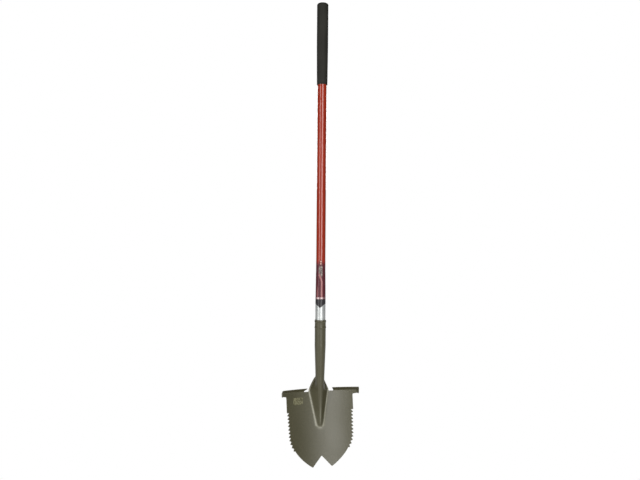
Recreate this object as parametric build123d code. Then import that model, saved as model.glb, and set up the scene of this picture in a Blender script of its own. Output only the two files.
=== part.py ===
from build123d import *

# Long-handled round point shovel with a serrated, notched blade.
#
# Working axes: X to the right as the digging face is seen, Y from the digging face to the back, Z up
# the handle. The handle axis is X = Y = 0 and Z = 0 is the step line across the top of the blade.
# At export everything is lowered by GRIP_Z, so the shared frame starts at the middle of the grip.
import os
from math import acos, atan, atan2, cos, hypot, pi, radians, sin, sqrt

# ---- driving dimensions, millimetres and degrees ------------------------------------------------
GRIP_Z = 1215.0          # middle of the straight part of the grip above the step line

SHEET = 1.6              # blade and socket sheet, 16 gauge
STEP_Y = 19.0            # face lies this far behind the handle axis at the step line
LIFT_TOP = 10.5          # lean of the face against the handle at the step line
LIFT_TIP = 18.0          # and at the tips
FACE_LEN = 245.0         # along the face from step line to tips
DISH_R = 360.0           # cross curvature of the face
DISH_TILT = 6.0          # tilt of the dish axis against the handle

BODY_HALF = 113.5        # half width of the straight sides
EAR_HALF = 131.0         # half width across the ears of the steps
EAR_DROP = 14.5          # height of the ears below the step line
TIP_HALF = 32.0          # half spacing of the two tips
TIP_Z = -238.0
NOTCH_Z = -205.0         # apex of the V between the tips
TEETH = 11               # each side
TOOTH_TOP_Z = -72.5      # uppermost tooth tip
TOOTH_PITCH = 10.86
TOOTH_ROOT = 0.62        # the root above a tip, in pitches
TOOTH_DEPTH = 6.2
TOOTH_LINE_HALF = 112.1  # half width across the tips of the uppermost teeth
TOOTH_LINE_TAPER = 0.042
TOOTH_LINE_TURN_Z = -138.0
TOOTH_LINE_CURVE = 0.0067
LOWEST_TOOTH_FOOT = (84.4, -190.6)

BEND_Z = -5.0            # where the step flange starts to bend forward
BEND_R = 2.6             # inside radius of that bend
FLANGE_ANGLE = 34.0      # step flange above the horizontal
FLANGE_LEN = 19.0
FLANGE_IN = 51.0         # inner end of the flange at the bend
FLANGE_IN_EDGE = 42.0    # inner end at the free edge
RETURN_DEPTH = 9.0       # forward return on the outer end of each step
RETURN_DROP = 16.0       # down the face from the bend
RETURN_ON_FLANGE = 14.0  # out along the flange

FROG_FILLET = 3.0        # root radius of the frog on the digging face
WING_R = 60.0            # forward curl of the shoulders above the step line
SHOULDER_HALF = 34.0     # half width of the shoulders at the step line
JOIN_Z = 47.0            # closed socket starts here
SPLIT_X = 44.0           # frog panel and side panels meet at this half width

SOCKET_R = 18.35         # outside, straight part
SOCKET_NECK_R = 14.85    # outside, where the socket runs into the frog
NECK_HALF = 15.0
SOCKET_TAPER_Z = 150.0
SOCKET_TOP = 237.0
MOUTH_RISE = 24.0        # height of the slanted opening at the back, above JOIN_Z
MOUTH_LOW_Y = 6.6        # depth where the opening starts, and where it runs out
MOUTH_HIGH_Y = 15.5
BEAD_R = 19.4
BEAD_ZS = (211.5, 231.5)
BEAD_HALF = 4.0
SEAM = 0.9               # gap of the rolled seam along the back

HANDLE_R = 15.3
HANDLE_BORE_R = 12.0
HANDLE_BOTTOM = 111.0
HANDLE_TOP = 1282.5

COLLAR_R = 16.7
COLLAR_BORE_R = 15.35
COLLAR_LOW = 172.0       # lower end, hidden in the socket
COLLAR_CONE_LOW = 300.0
COLLAR_TOP = 393.0
COLLAR_EDGE = 0.25       # wall left at the thin upper edge

CORE_R = 11.95
CORE_TOP = 420.0
PLUG_BOTTOM = 70.0
PLUG_BOTTOM_R = 13.75
PLUG_TOP_R = 15.1

GRIP_BOTTOM = 1018.0
GRIP_TOP = 1288.0
GRIP_R = 18.8
GRIP_LOW_R = 17.65
GRIP_TAPER_TOP = 1145.0
GRIP_BORE_R = 15.32
GRIP_CROWN_R = 5.0       # rounded rim of the closed end

LABEL_TOP = 435.0
LABEL_SIDE_Z = 290.0     # lower edge at the sides
LABEL_POINT_Z = 277.0    # lower edge at front and back, where it comes to a point
LABEL_THICK = 0.18
LABEL_GAP = 0.02

RIVET_Z = 188.0
RIVET_SHANK_R = 2.4
RIVET_PLAY = 0.02
RIVET_HEAD_R = 5.0
RIVET_HEAD_H = 2.4
RIVET_REACH = 5.0        # y of the inner end of the shank

DECAL_X = -72.5
DECAL_Z = -32.0
DECAL_W = 34.0
DECAL_H = 22.0
DECAL_THICK = 0.15

# ---- face geometry ------------------------------------------------------------------------------
FACE_R = FACE_LEN / radians(LIFT_TIP - LIFT_TOP)
UP = (sin(radians(LIFT_TOP)), cos(radians(LIFT_TOP)))
OUT = (-UP[1], UP[0])
FACE_C = (STEP_Y + OUT[0] * FACE_R, OUT[1] * FACE_R)
WING_C = (STEP_Y + OUT[0] * WING_R, OUT[1] * WING_R)
STEP_ANGLE = -radians(LIFT_TOP)
DISH_AXIS = Axis(
    Vector(0, STEP_Y - DISH_R * cos(radians(DISH_TILT)), DISH_R * sin(radians(DISH_TILT))),
    Vector(0, sin(radians(DISH_TILT)), cos(radians(DISH_TILT))),
)
DISH_SWEEP = 27.0


def yz(y, z):
    return Vector(0, y, z)


def on_circle(centre, radius, angle):
    """Point of a circle in the YZ plane, the angle counted from +Y toward +Z."""
    return yz(centre[0] + radius * cos(angle), centre[1] + radius * sin(angle))


def arc(centre, radius, start, end):
    mid = on_circle(centre, radius, (start + end) / 2)
    return Edge.make_three_point_arc(on_circle(centre, radius, start), mid, on_circle(centre, radius, end))


def face_y(z):
    """Depth of the digging face on the centre line, frog left out."""
    centre, radius = (FACE_C, FACE_R) if z <= 0 else (WING_C, WING_R)
    return centre[0] + sqrt(radius**2 - (z - centre[1])**2)


def dish(profile):
    """Sweep a profile of the YZ plane about the dish axis, to both sides."""
    return Solid.revolve(profile.rotate(DISH_AXIS, -DISH_SWEEP), 2 * DISH_SWEEP, DISH_AXIS)


def plan_prism(points):
    """Closed outline in X and Z, extruded through the whole depth of the blade."""
    wire = Wire.make_polygon([Vector(x, -130, z) for x, z in points], close=True)
    return Solid.extrude(Face(wire), Vector(0, 260, 0))


# ---- outline of the blade -----------------------------------------------------------------------
def tooth_line(z):
    """Half width across the tips of the teeth: a slight taper that turns into a curve."""
    curved = max(0.0, TOOTH_LINE_TURN_Z - z)
    return TOOTH_LINE_HALF - TOOTH_LINE_TAPER * (TOOTH_TOP_Z - z) - TOOTH_LINE_CURVE * curved**2


def lower_edge(count=9):
    """Round lower edge from the last tooth to the tip, on a circle through three points."""
    (ax, az), (bx, bz), (cx, cz) = LOWEST_TOOTH_FOOT, (58.0, -219.0), (TIP_HALF + 1.6, TIP_Z + 0.3)
    d = 2 * (ax * (bz - cz) + bx * (cz - az) + cx * (az - bz))
    a2, b2, c2 = ax**2 + az**2, bx**2 + bz**2, cx**2 + cz**2
    mx = (a2 * (bz - cz) + b2 * (cz - az) + c2 * (az - bz)) / d
    mz = (a2 * (cx - bx) + b2 * (ax - cx) + c2 * (bx - ax)) / d
    radius = hypot(ax - mx, az - mz)
    start, end = atan2(az - mz, ax - mx), atan2(cz - mz, cx - mx)
    angles = [start + (end - start) * i / (count - 1) for i in range(count)]
    return [(mx + radius * cos(a), mz + radius * sin(a)) for a in angles]


def side_points():
    """Right-hand edge from the ear down to the tip: straight side, teeth, lower curve."""
    points = [(EAR_HALF, -EAR_DROP + 1.5)]
    points.append((EAR_HALF - 1.5, -EAR_DROP))
    points.append((BODY_HALF + 3.0, -EAR_DROP))
    points.append((BODY_HALF + 0.9, -EAR_DROP - 0.9))
    points.append((BODY_HALF, -EAR_DROP - 3.0))
    points.append((BODY_HALF - 0.4, TOOTH_TOP_Z + TOOTH_ROOT * TOOTH_PITCH + 1.5))
    for i in range(TEETH):
        tip_z = TOOTH_TOP_Z - i * TOOTH_PITCH
        root_z = tip_z + TOOTH_ROOT * TOOTH_PITCH
        lean = atan((tooth_line(tip_z + 4) - tooth_line(tip_z - 4)) / 8)
        x_root = tooth_line(min(root_z, TOOTH_TOP_Z)) - TOOTH_DEPTH * cos(lean)
        points.append((x_root, root_z + 0.6 * sin(lean)))
        points.append((tooth_line(tip_z), tip_z + 0.5))
        points.append((tooth_line(tip_z), tip_z - 0.5))
    last_z = TOOTH_TOP_Z - (TEETH - 1) * TOOTH_PITCH
    points.append((tooth_line(last_z) - TOOTH_DEPTH, last_z - 2.5))
    points += lower_edge()
    points.append((TIP_HALF + 0.2, TIP_Z))
    points.append((TIP_HALF - 1.0, TIP_Z + 0.5))
    return points


def notch_points():
    return [(0.8, NOTCH_Z - 0.3), (0.0, NOTCH_Z)]


def split_point():
    """Where the line between the panels leaves the blade through its lower edge."""
    edge = lower_edge()
    (x_a, z_a), (x_b, z_b) = next((p, q) for p, q in zip(edge, edge[1:]) if p[0] > SPLIT_X >= q[0])
    return (SPLIT_X, z_a + (z_b - z_a) * (x_a - SPLIT_X) / (x_a - x_b))


def side_outline():
    """Panel outside SPLIT_X, flange included; the slanted line is the inner end of the flange."""
    above = 40.0
    slope = (FLANGE_IN - FLANGE_IN_EDGE) / 13.0
    points = [(SPLIT_X, BEND_Z), (FLANGE_IN, BEND_Z), (FLANGE_IN, 0.0), (FLANGE_IN - slope * above, above)]
    points.append((EAR_HALF, above))
    points += [p for p in side_points() if p[0] > SPLIT_X]
    points.append(split_point())
    return points


def shoulder_half(z):
    """Half width of the shoulders, which narrow from the step line up to the neck."""
    t = max(0.0, z) / JOIN_Z
    return NECK_HALF + (SHOULDER_HALF - NECK_HALF) * (1 - t)**1.55 * (1 + 0.62 * t)


def shoulder_points(count=15):
    """Right-hand edge of the shoulders, from the free edge beside the step up to the neck."""
    points = [(SHOULDER_HALF + 0.6, BEND_Z), (SHOULDER_HALF - 1.2, BEND_Z + 0.9)]
    points.append((SHOULDER_HALF - 2.6, BEND_Z + 3.2))
    heights = [2.0 + (JOIN_Z - 2.0) * i / (count - 1) for i in range(count)]
    points += [(min(shoulder_half(z), SHOULDER_HALF - 2.9), z) for z in heights]
    return points


def middle_outline():
    """Panel inside SPLIT_X: shoulders, frog and tips, as one closed outline."""
    right = [(SPLIT_X, BEND_Z), split_point()]
    right += [p for p in side_points() if p[0] < SPLIT_X]
    right += notch_points()
    left = [(-x, z) for x, z in reversed(right[:-1])]
    shoulder = shoulder_points()
    return shoulder[::-1] + right + left + [(-x, z) for x, z in shoulder]


# ---- frog ---------------------------------------------------------------------------------------
# height, depth of the crest, radius of the crest, half width where the flanks meet the face
FROG = [
    (60, -14.85, 14.85, 14.85),
    (47, -14.85, 14.85, 14.85),
    (35, -14.85, 14.6, 15.5),
    (25, -14.8, 13.8, 18.4),
    (15, -14.6, 12.8, 22.5),
    (5, -14.4, 11.8, 27.0),
    (-5, -14.2, 10.8, 30.8),
    (-20, -13.8, 9.4, 28.6),
    (-40, -13.3, 7.6, 24.8),
    (-60, -12.7, 6.2, 21.0),
    (-80, -12.0, 5.0, 17.0),
    (-98, -11.4, 4.0, 13.2),
    (-110, -10.9, 3.4, 9.9),
    (-117, -10.0, 3.0, 6.6),
]
# height, depth of the crest, radius of the crest, opening of the flanks: the nose runs in under the face
FROG_NOSE = [(-121.5, -8.8, 2.8, 60.0), (-126.0, -6.0, 2.6, 62.0)]


def flank_angle(height, half_width, radius):
    if half_width <= radius + 1e-6:
        return 0.0
    return acos(radius / hypot(half_width, height - radius)) - atan2(height - radius, half_width)


def ridge(z, crest_y, radius, flank, inset):
    """Horizontal section of the frog: crest arc and two flanks that run far behind the face."""
    r = radius - inset
    centre = crest_y + radius
    x = r * cos(flank)
    y = centre - r * sin(flank)
    behind = 60.0
    x_behind = x + (behind - y) * sin(flank) / cos(flank)
    left, right = Vector(-x_behind, behind, z), Vector(x_behind, behind, z)
    a, b = Vector(-x, y, z), Vector(x, y, z)
    crest = Edge.make_three_point_arc(a, Vector(0, centre - r, z), b)
    return Wire([Edge.make_line(left, a), crest, Edge.make_line(b, right), Edge.make_line(right, left)])


def frog_volume(inset):
    sections = []
    for z, crest_y, radius, half_width in FROG:
        flank = flank_angle(face_y(min(z, 50)) - crest_y, half_width, radius)
        sections.append(ridge(z, crest_y, radius, flank, inset))
    for z, crest_y, radius, flank in FROG_NOSE:
        sections.append(ridge(z, crest_y, radius, radians(flank), inset))
    return Solid.make_loft(sections)


def behind_surface(offset, fillet):
    """Everything behind the digging face moved back by offset, frog included and its root rounded."""
    low = STEP_ANGLE - 258.0 / FACE_R
    high = STEP_ANGLE + radians(62)
    top = on_circle(WING_C, WING_R + offset, high)
    bottom = on_circle(FACE_C, FACE_R + offset, low)
    far_top, far_low = yz(110, top.Z + 8), yz(110, bottom.Z)
    edges = [
        arc(FACE_C, FACE_R + offset, low, STEP_ANGLE),
        arc(WING_C, WING_R + offset, STEP_ANGLE, high),
        Edge.make_line(top, far_top),
        Edge.make_line(far_top, far_low),
        Edge.make_line(far_low, bottom),
    ]
    volume = dish(Face(Wire(edges))).fuse(frog_volume(offset))
    volume = volume.intersect(Pos(0, 0, JOIN_Z + 1 - 400) * Box(900, 900, 800)).solids()[0]
    roots = [e for e in volume.edges() if is_root(e, offset)]
    return volume.fillet(fillet, roots)


def is_root(edge, offset):
    """Edges where the frog stands on the face."""
    if edge.length < 0.5:
        return False
    for t in (0.03, 0.5, 0.97):
        p = edge.position_at(t)
        if abs(p.X) > 36 or p.Z < -132 or p.Z > JOIN_Z + 1.01:
            return False
        if abs(face_y(p.Z) + offset - p.Y) > 3.2:
            return False
    return any(abs(edge.position_at(t).Z - JOIN_Z - 1) > 0.01 for t in (0.2, 0.5))


def middle_panel():
    shell = behind_surface(0.0, FROG_FILLET).cut(behind_surface(SHEET, FROG_FILLET + SHEET))
    panel = shell.intersect(plan_prism(middle_outline()))
    return max(panel.solids(), key=lambda s: s.volume)


# ---- side panels with steps ---------------------------------------------------------------------
def step_profile():
    """Face, bend and step flange as one strip of sheet in the YZ plane."""
    low = STEP_ANGLE - 258.0 / FACE_R
    start = STEP_ANGLE + BEND_Z / FACE_R
    lean = -start
    up = (sin(lean), cos(lean))
    out = (-up[1], up[0])
    front = on_circle(FACE_C, FACE_R, start)
    back = on_circle(FACE_C, FACE_R + SHEET, start)
    centre = (front.Y + out[0] * BEND_R, front.Z + out[1] * BEND_R)
    turn = pi / 2 - radians(FLANGE_ANGLE) + lean
    inner = arc(centre, BEND_R, -lean, -lean + turn)
    outer = arc(centre, BEND_R + SHEET, -lean, -lean + turn)
    along_flange = yz(-cos(radians(FLANGE_ANGLE)), sin(radians(FLANGE_ANGLE)))
    inner_end = on_circle(centre, BEND_R, -lean + turn)
    outer_end = on_circle(centre, BEND_R + SHEET, -lean + turn)
    lip_in = inner_end + along_flange * FLANGE_LEN
    lip_out = outer_end + along_flange * FLANGE_LEN
    edges = [
        arc(FACE_C, FACE_R, low, start),
        inner,
        Edge.make_line(inner_end, lip_in),
        Edge.make_line(lip_in, lip_out),
        Edge.make_line(lip_out, outer_end),
        outer,
        arc(FACE_C, FACE_R + SHEET, start, low),
        Edge.make_line(on_circle(FACE_C, FACE_R + SHEET, low), on_circle(FACE_C, FACE_R, low)),
    ]
    foot = start - RETURN_DROP / FACE_R
    corners = [
        on_circle(FACE_C, FACE_R + SHEET / 2, foot),
        back,
        outer_end,
        outer_end + along_flange * RETURN_ON_FLANGE,
        on_circle(FACE_C, FACE_R - RETURN_DEPTH, foot),
    ]
    return Face(Wire(edges)), Face(Wire.make_polygon(corners, close=True))


def side_panels():
    strip, gusset = step_profile()
    sheet = dish(strip)
    right = sheet.intersect(plan_prism(side_outline())).solids()[0]
    above = 40.0
    low = -EAR_DROP + 0.6
    slab = [(EAR_HALF - SHEET, above), (EAR_HALF, above), (EAR_HALF, low + 0.9), (EAR_HALF - 1.0, low),
            (EAR_HALF - SHEET, low)]
    right = right.fuse(dish(gusset).intersect(plan_prism(slab)).solids()[0])
    right = right if isinstance(right, Solid) else right.solids()[0]
    return [right, right.mirror(Plane.YZ)]


# ---- socket -------------------------------------------------------------------------------------
def bead_edges(r):
    """Outline of the straight part of the socket with its two beads, from the taper to the mouth."""
    points = [(r, SOCKET_TAPER_Z)]
    swell = BEAD_R - SOCKET_R
    for z in BEAD_ZS:
        for away, share in ((-BEAD_HALF, 0.0), (-1.7, 0.75), (0.0, 1.0), (1.7, 0.75), (BEAD_HALF, 0.0)):
            points.append((r + swell * share, z + away))
    return points


def socket_tube():
    outer = [(SOCKET_NECK_R, JOIN_Z)] + bead_edges(SOCKET_R)
    inner = [(SOCKET_NECK_R - SHEET, JOIN_Z)] + bead_edges(SOCKET_R - SHEET)
    mouth = [(SOCKET_R - 0.2, SOCKET_TOP), (SOCKET_R - SHEET + 0.3, SOCKET_TOP)]
    outer.append((SOCKET_R, SOCKET_TOP - 0.6))
    inner.append((SOCKET_R - SHEET, SOCKET_TOP - 0.6))
    points = outer + mouth + inner[::-1]
    wire = Wire.make_polygon([Vector(r, 0, z) for r, z in points], close=True)
    tube = Solid.revolve(Face(wire), 360, Axis.Z)
    seam = Pos(0, SOCKET_R, SOCKET_TOP / 2) * Box(SEAM, 1.2 * SOCKET_R, 1.2 * SOCKET_TOP)
    behind = 30.0
    low, high = JOIN_Z - 1, JOIN_Z + MOUTH_RISE
    corners = [yz(MOUTH_LOW_Y, low), yz(MOUTH_HIGH_Y, high), yz(behind, high), yz(behind, low)]
    opening = Solid.extrude(Face(Wire.make_polygon(corners, close=True)), Vector(2 * behind, 0, 0))
    return tube.cut(seam, opening.moved(Location((-behind, 0, 0))), rivet_bore())


def rivet_bore():
    """Straight hole along Y for the rivet, from its inner end out through the back."""
    inner_end = Plane(origin=(0, RIVET_REACH - 0.1, RIVET_Z), z_dir=(0, 1, 0))
    return Solid.make_cylinder(RIVET_SHANK_R + RIVET_PLAY, 2 * SOCKET_R, inner_end)


def make_blade():
    whole = middle_panel()
    for piece in side_panels() + [socket_tube()]:
        whole = whole.fuse(piece)
    return whole


# ---- handle, collar, core, grip, label, rivet, decal --------------------------------------------
def turned(points):
    """Solid of revolution about the handle axis from (radius, height) corners."""
    wire = Wire.make_polygon([Vector(r, 0, z) for r, z in points], close=True)
    return Solid.revolve(Face(wire), 360, Axis.Z)


def make_handle_tube():
    points = [(HANDLE_BORE_R, HANDLE_BOTTOM), (HANDLE_R - 0.8, HANDLE_BOTTOM), (HANDLE_R, HANDLE_BOTTOM + 4)]
    points += [(HANDLE_R, HANDLE_TOP - 1), (HANDLE_R - 1, HANDLE_TOP), (HANDLE_BORE_R, HANDLE_TOP)]
    return turned(points).cut(rivet_bore())


def make_handle_core():
    """Plug: a tapered foot that fills the socket under the tube, and a round stem inside the tube."""
    shoulder = HANDLE_BOTTOM - 1.0
    points = [(0, PLUG_BOTTOM), (PLUG_BOTTOM_R, PLUG_BOTTOM), (PLUG_TOP_R, shoulder), (CORE_R, shoulder)]
    points += [(CORE_R, CORE_TOP - 6), (CORE_R - 3, CORE_TOP), (0, CORE_TOP)]
    return turned(points).cut(rivet_bore())


def make_collar():
    collar = turned([(COLLAR_BORE_R, COLLAR_LOW), (COLLAR_R, COLLAR_LOW), (COLLAR_R, COLLAR_CONE_LOW),
                     (COLLAR_BORE_R + COLLAR_EDGE, COLLAR_TOP), (COLLAR_BORE_R, COLLAR_TOP)])
    return collar.cut(rivet_bore())


def make_grip():
    grip = turned([(0, GRIP_TOP), (GRIP_R, GRIP_TOP), (GRIP_R, GRIP_TAPER_TOP), (GRIP_LOW_R, GRIP_BOTTOM),
                   (GRIP_BORE_R, GRIP_BOTTOM), (GRIP_BORE_R, HANDLE_TOP + 0.05), (0, HANDLE_TOP + 0.05)])
    grip = grip.fillet(GRIP_CROWN_R, round_edges(grip, GRIP_TOP))
    return grip.fillet(1.0, round_edges(grip, GRIP_BOTTOM))


def round_edges(shape, z):
    """Outer circular edges of a turned shape at height z."""
    circles = [e for e in shape.edges() if e.geom_type == GeomType.CIRCLE]
    return [e for e in circles if abs(e.position_at(0).Z - z) < 0.01 and e.radius > GRIP_BORE_R + 1]


def collar_radius(z):
    if z >= COLLAR_TOP:
        return HANDLE_R
    drop = COLLAR_R - COLLAR_BORE_R - COLLAR_EDGE
    return COLLAR_R - drop * max(0.0, z - COLLAR_CONE_LOW) / (COLLAR_TOP - COLLAR_CONE_LOW)


def make_label():
    heights = [LABEL_POINT_Z, COLLAR_CONE_LOW, COLLAR_TOP - 0.01, COLLAR_TOP + 3.0, LABEL_TOP]
    inner = [(collar_radius(z) + LABEL_GAP, z) for z in heights]
    inner[2] = (COLLAR_BORE_R + COLLAR_EDGE + LABEL_GAP, COLLAR_TOP + 0.3)
    film = turned(inner + [(r + LABEL_THICK, z) for r, z in reversed(inner)])
    points = [(0, LABEL_POINT_Z), (25, LABEL_SIDE_Z + 6.5), (25, LABEL_POINT_Z - 5), (-25, LABEL_POINT_Z - 5),
              (-25, LABEL_SIDE_Z + 6.5)]
    return film.cut(plan_prism(points))


def make_rivet():
    """Round-head rivet through the seam at the back of the socket."""
    plane = Plane(origin=(0, 0, RIVET_Z), x_dir=(1, 0, 0), z_dir=(0, 1, 0))
    shank = Solid.make_cylinder(RIVET_SHANK_R, SOCKET_R - RIVET_REACH + 1.0, plane.offset(RIVET_REACH))
    seat = SOCKET_R + 0.01
    dome_r = (RIVET_HEAD_R**2 + RIVET_HEAD_H**2) / (2 * RIVET_HEAD_H)
    ball = Solid.make_sphere(dome_r, Plane(origin=(0, seat + RIVET_HEAD_H - dome_r, RIVET_Z)))
    head = ball.intersect(Pos(0, seat + 10, RIVET_Z) * Box(40, 20, 40))
    return head.solids()[0].fuse(shank)


def make_decal():
    film = Face(Wire([
        arc(FACE_C, FACE_R, STEP_ANGLE - 80 / FACE_R, STEP_ANGLE),
        Edge.make_line(on_circle(FACE_C, FACE_R, STEP_ANGLE), on_circle(FACE_C, FACE_R - DECAL_THICK, STEP_ANGLE)),
        arc(FACE_C, FACE_R - DECAL_THICK, STEP_ANGLE, STEP_ANGLE - 80 / FACE_R),
        Edge.make_line(on_circle(FACE_C, FACE_R - DECAL_THICK, STEP_ANGLE - 80 / FACE_R),
                       on_circle(FACE_C, FACE_R, STEP_ANGLE - 80 / FACE_R)),
    ]))
    corner = 4.0
    points = []
    for cx, cz, start in ((1, 1, 0), (-1, 1, 90), (-1, -1, 180), (1, -1, 270)):
        for step in range(0, 91, 30):
            angle = radians(start + step)
            points.append((DECAL_X + cx * (DECAL_W / 2 - corner) + corner * cos(angle),
                           DECAL_Z + cz * (DECAL_H / 2 - corner) + corner * sin(angle)))
    return dish(film).intersect(plan_prism(points)).solids()[0]


NODES = {
    "blade": make_blade,
    "handle_tube": make_handle_tube,
    "handle_core": make_handle_core,
    "reinforcing_collar": make_collar,
    "cushion_grip": make_grip,
    "handle_label": make_label,
    "socket_rivet": make_rivet,
    "blade_decal": make_decal,
}

os.makedirs("parts", exist_ok=True)
for name, make in NODES.items():
    shape = make()
    solids = shape.solids() if hasattr(shape, "solids") else [shape]
    solid = solids[0] if len(solids) == 1 else Compound(solids)
    print(name, "solids", len(solids), "volume", round(sum(s.volume for s in solids)), "valid", solid.is_valid)
    export_step(solid.moved(Location((0, 0, -GRIP_Z))), f"parts/{name}.step")
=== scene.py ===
"""Looks of the round point shovel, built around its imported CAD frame."""
import math

import bmesh
import bpy
import numpy as np
from mathutils import Matrix, Vector, geometry, kdtree


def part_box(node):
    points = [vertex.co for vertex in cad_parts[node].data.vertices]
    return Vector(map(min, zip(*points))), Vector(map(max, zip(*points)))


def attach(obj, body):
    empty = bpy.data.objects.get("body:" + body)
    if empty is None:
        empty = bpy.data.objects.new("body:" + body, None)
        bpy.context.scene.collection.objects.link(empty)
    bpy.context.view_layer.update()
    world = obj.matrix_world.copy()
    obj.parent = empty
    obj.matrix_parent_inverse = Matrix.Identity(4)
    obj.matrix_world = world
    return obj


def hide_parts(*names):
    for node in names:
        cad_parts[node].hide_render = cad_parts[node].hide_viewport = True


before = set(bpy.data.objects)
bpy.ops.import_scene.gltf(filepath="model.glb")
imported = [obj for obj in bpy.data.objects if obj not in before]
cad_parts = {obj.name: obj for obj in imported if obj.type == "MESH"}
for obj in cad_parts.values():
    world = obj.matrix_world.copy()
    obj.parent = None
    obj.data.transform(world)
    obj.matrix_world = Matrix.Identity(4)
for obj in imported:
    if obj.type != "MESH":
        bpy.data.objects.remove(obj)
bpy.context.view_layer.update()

MM = 0.001

# ---- the frame's own places and sizes, millimetres ----------------------------------------------


def box_mm(node):
    low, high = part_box(node)
    return low / MM, high / MM


BLADE_LOW, BLADE_HIGH = box_mm("blade")
HANDLE_LOW, HANDLE_HIGH = box_mm("handle_tube")
CORE_LOW, CORE_HIGH = box_mm("handle_core")
COLLAR_LOW, COLLAR_HIGH = box_mm("reinforcing_collar")
GRIP_LOW, GRIP_HIGH = box_mm("cushion_grip")
LABEL_LOW, LABEL_HIGH = box_mm("handle_label")
RIVET_LOW, RIVET_HIGH = box_mm("socket_rivet")
DECAL_LOW, DECAL_HIGH = box_mm("blade_decal")

# ---- driving dimensions of the blade, millimetres and degrees, z from the step line up -----------
SHEET = 1.6
SOCKET_TOP = 237.0
STEP_Y = 19.0
LIFT_TOP = 10.5
FACE_R = 1871.7
DISH_R = 360.0
DISH_TILT = 6.0
WING_R = 60.0
STEP_Z = BLADE_HIGH.z - SOCKET_TOP       # the step line in the frame

BODY_HALF = 113.5
EAR_HALF = BLADE_HIGH.x
EAR_DROP = 14.5
TIP_HALF = 32.0
TIP_Z = BLADE_LOW.z - STEP_Z + 0.5
NOTCH_Z = -205.0
TEETH = 11
TOOTH_TOP_Z = -72.5
TOOTH_PITCH = 10.86
TOOTH_DEPTH = 6.2
TOOTH_LINE_HALF = 112.1     # half width across the teeth at the top one

BEND_Z = -5.0
BEND_R = 2.6
FLANGE_ANGLE = 34.0
FLANGE_LEN = 19.0
FLANGE_IN = 51.0
FLANGE_IN_EDGE = 42.0
WEB_REACH = 9.0          # forward return at the outer end of a step
WEB_ON_FLANGE = 14.0

NOSE_Z = -117.5          # lower end of the frog
NOSE_TOP_Z = -92.0       # where the crest starts to round down
NOSE_R = 13.0
NOSE_RIM = 2.2           # width of the rim around the round nose
FROG_TOP_HALF = 34.4     # half width of the frog at the step line, rims included
FROG_SLOPE = 0.187
ROOT_R = 5.5             # root radius of the frog
LIP_HEIGHT = 0.6         # swaged lip that outlines the frog
LIP_HALF = 3.6
JOIN_Z = 47.0
NECK_R = 14.85
MOUTH_Z = 72.0           # the seam is closed from here up
TAPER_Z = 150.0
SOCKET_R = 18.35
BEAD_ZS = (211.5, 231.5)
BEAD_HALF = 4.2
BEAD_HEIGHT = 1.05
SEAM = 0.9

OUTLINE_STEP = 2.4       # longest edge along the outline of the sheet
CELL = 2.6               # spacing of mesh columns on the plain face
FINE_ROW = 0.85          # spacing of mesh rows over the swaged beads
RETURN_END = 145.0       # beyond the widest part of the unfolded return
ROOT_RISE = 0.62         # height of a tooth's root over its tip, as a share of the pitch


# ---- small numeric helpers ----------------------------------------------------------------------
def ramp(x, low, high):
    """0 below low, 1 above high, smooth in between."""
    t = np.clip((np.asarray(x, float) - low) / (high - low), 0.0, 1.0)
    return t * t * (3 - 2 * t)


def mix(a, b, t):
    return a + (b - a) * t


def arc_through(p0, p1, p2, count):
    """Points on the circle through three plan points, both ends included."""
    (ax, ay), (bx, by), (cx, cy) = p0, p1, p2
    d = 2 * (ax * (by - cy) + bx * (cy - ay) + cx * (ay - by))
    ux = ((ax**2 + ay**2) * (by - cy) + (bx**2 + by**2) * (cy - ay) + (cx**2 + cy**2) * (ay - by)) / d
    uy = ((ax**2 + ay**2) * (cx - bx) + (bx**2 + by**2) * (ax - cx) + (cx**2 + cy**2) * (bx - ax)) / d
    r = math.hypot(ax - ux, ay - uy)
    start, end = math.atan2(ay - uy, ax - ux), math.atan2(cy - uy, cx - ux)
    if end - start > math.pi:
        end -= 2 * math.pi
    if start - end > math.pi:
        end += 2 * math.pi
    return [(ux + r * math.cos(a), uy + r * math.sin(a)) for a in np.linspace(start, end, count)]


def spread(points, step):
    """The same polyline with extra points, so that no stretch is longer than step."""
    out = []
    for (xa, ya), (xb, yb) in zip(points, points[1:]):
        parts = max(1, math.ceil(math.hypot(xb - xa, yb - ya) / step))
        out += [(mix(xa, xb, i / parts), mix(ya, yb, i / parts)) for i in range(parts)]
    return out + [points[-1]]


def rounded(points, radius, count=4):
    """Open polyline with its inner corners turned into short curves."""
    out = [points[0]]
    for before, corner, after in zip(points, points[1:], points[2:]):
        b, c, a = (np.array(p, float) for p in (before, corner, after))
        reach = min(radius, 0.45 * np.linalg.norm(b - c), 0.45 * np.linalg.norm(a - c))
        start = c + (b - c) / np.linalg.norm(b - c) * reach
        end = c + (a - c) / np.linalg.norm(a - c) * reach
        for t in np.linspace(0, 1, count):
            out.append(tuple((1 - t)**2 * start + 2 * t * (1 - t) * c + t**2 * end))
    return out + [points[-1]]


# ---- blade surface: u runs across the sheet from the middle, v runs up it from the step line ------
LEAN = math.radians(LIFT_TOP)
TILT = math.radians(DISH_TILT)
FACE_C = (STEP_Y - math.cos(LEAN) * FACE_R, math.sin(LEAN) * FACE_R)
WING_C = (STEP_Y - math.cos(LEAN) * WING_R, math.sin(LEAN) * WING_R)
AXIS = (STEP_Y - DISH_R * math.cos(TILT), DISH_R * math.sin(TILT))
BEND_V = BEND_Z / math.cos(LEAN)
BEND_START = LEAN - BEND_V / FACE_R          # lean of the face where the bend starts
BEND_TURN = math.pi / 2 - math.radians(FLANGE_ANGLE) + BEND_START
BEND_LEN = BEND_R * BEND_TURN
LIP_V = BEND_V + BEND_LEN + FLANGE_LEN


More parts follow.
